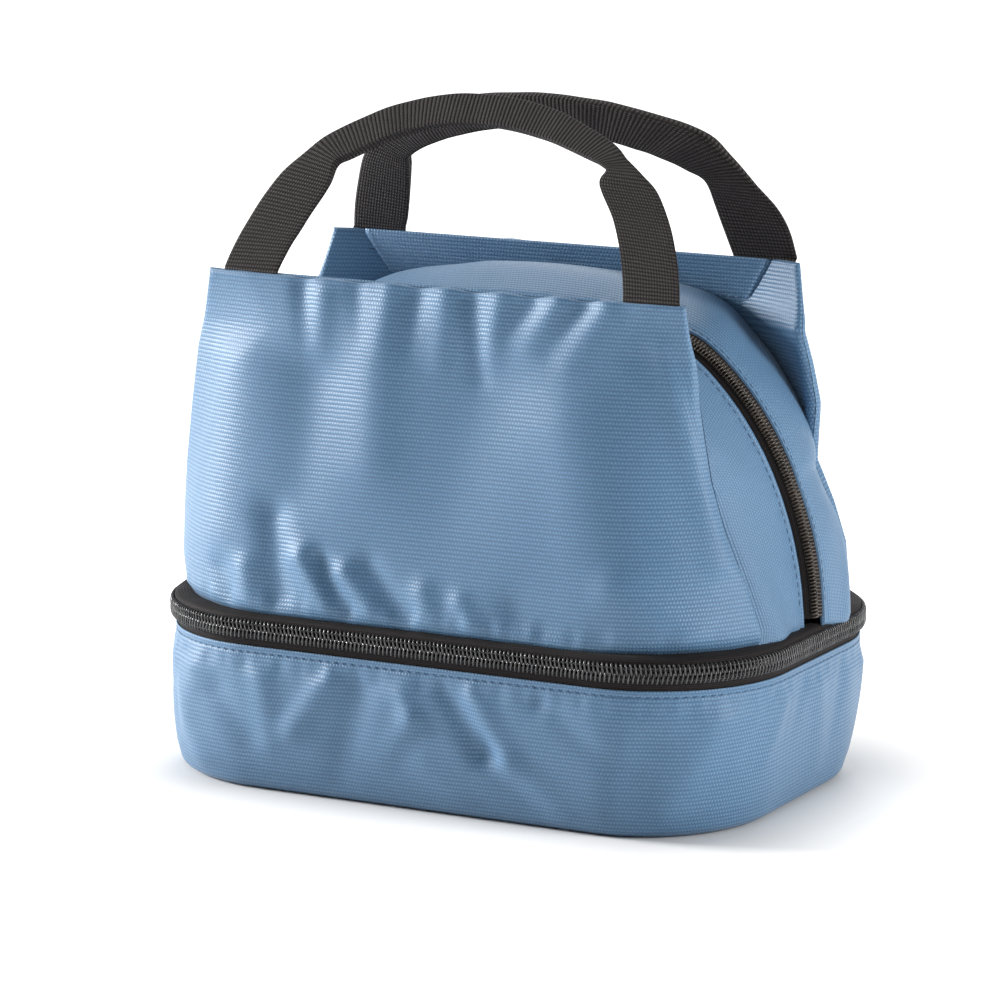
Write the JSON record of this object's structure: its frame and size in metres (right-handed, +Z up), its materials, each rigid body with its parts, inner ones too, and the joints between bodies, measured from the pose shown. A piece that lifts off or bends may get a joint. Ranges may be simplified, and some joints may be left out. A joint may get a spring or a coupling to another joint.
{
  "type": "lunch box",
  "caption": "Soft insulated two-compartment lunch bag: round-cornered zip-off base, zipped domed upper compartment and a pair of webbing handles.",
  "frame": {"origin": "on the floor under the middle of the base", "axes": "+X to the right, -Y to the front panel, +Z up"},
  "size_m": [0.2659, 0.1708, 0.2643],
  "materials": {
    "shell_cloth": "ribbed polyester weave with a satin sheen",
    "foam": "closed-cell insulating foam sheet",
    "lining": "silver-grey wipe-clean film",
    "zip_tape": "black woven zip tape and binding",
    "zip_teeth": "dark moulded coil",
    "webbing": "charcoal ribbed webbing",
    "slider_metal": "black enamel, slightly worn"
  },
  "bodies": {
    "base": {"back_hinge_strip": "shell_cloth", "base_bottom_panel": "shell_cloth", "base_floor_foam": "foam", "base_floor_lining": "lining", "base_rim_binding": "zip_tape", "base_side_wall": "shell_cloth", "base_wall_foam": "foam", "base_wall_lining": "lining", "base_zip_end_tabs": "zip_tape", "base_zip_tape": "zip_tape", "base_zip_teeth": "zip_teeth"},
    "divider": {"divider_foam": "foam", "divider_top_lining": "lining", "divider_under_lining": "lining", "divider_zip_tape": "zip_tape", "divider_zip_teeth": "zip_teeth"},
    "front_half": {"front_gusset": "shell_cloth", "front_gusset_foam": "foam", "front_gusset_lining": "lining", "front_hem": "shell_cloth", "front_panel": "shell_cloth", "front_panel_foam": "foam", "front_panel_lining": "lining", "front_strap_ends": "webbing", "front_zip_tape": "zip_tape", "front_zip_teeth": "zip_teeth"},
    "rear_half": {"rear_gusset": "shell_cloth", "rear_gusset_foam": "foam", "rear_gusset_lining": "lining", "rear_hem": "shell_cloth", "rear_panel": "shell_cloth", "rear_panel_foam": "foam", "rear_panel_lining": "lining", "rear_strap_ends": "webbing", "rear_zip_tape": "zip_tape", "rear_zip_teeth": "zip_teeth"},
    "front_handle": {"front_handle": "webbing"},
    "rear_handle": {"rear_handle": "webbing"},
    "base_slider": {"base_zip_slider": "slider_metal"},
    "base_pull": {"base_zip_pull": "slider_metal"},
    "dome_slider": {"dome_zip_slider": "slider_metal"},
    "dome_pull": {"dome_zip_pull": "slider_metal"}
  },
  "joints": [
    {"name": "base_lid_hinge", "type": "hinge", "parent": "base", "child": "divider", "pos_m": [0, 0.0861, 0.0635], "axis": [-1, 0, 0], "range_deg": [0, 100]},
    {"name": "front_half_fold", "type": "hinge", "parent": "divider", "child": "front_half", "pos_m": [0, -0.0813, 0.069], "axis": [1, 0, 0], "range_deg": [0, 50]},
    {"name": "rear_half_fold", "type": "hinge", "parent": "divider", "child": "rear_half", "pos_m": [0, 0.0813, 0.069], "axis": [-1, 0, 0], "range_deg": [0, 45]},
    {"name": "front_handle_fold", "type": "hinge", "parent": "front_half", "child": "front_handle", "pos_m": [0, -0.0606, 0.1982], "axis": [1, 0, 0], "range_deg": [0, 180]},
    {"name": "rear_handle_fold", "type": "hinge", "parent": "rear_half", "child": "rear_handle", "pos_m": [0, 0.0426, 0.2022], "axis": [-1, 0, 0], "range_deg": [0, 180]},
    {"name": "base_slider_run", "type": "slide", "parent": "base", "child": "base_slider", "axis": [0, -1, 0], "range_m": [0, 0.046]},
    {"name": "base_pull_swing", "type": "hinge", "parent": "base_slider", "child": "base_pull", "pos_m": [-0.1338, 0.023, 0.0635], "axis": [0, 0, -1], "range_deg": [0, 170]},
    {"name": "dome_slider_run", "type": "hinge", "parent": "front_half", "child": "dome_slider", "pos_m": [0.00843, -0.00026, 0.07349], "axis": [0, 0.9981, 0.061], "range_deg": [0, 38]},
    {"name": "dome_pull_swing", "type": "hinge", "parent": "dome_slider", "child": "dome_pull", "pos_m": [-0.1323, -0.00154, 0.09449], "axis": [0, 0.9981, 0.061], "range_deg": [0, 170]}
  ]
}
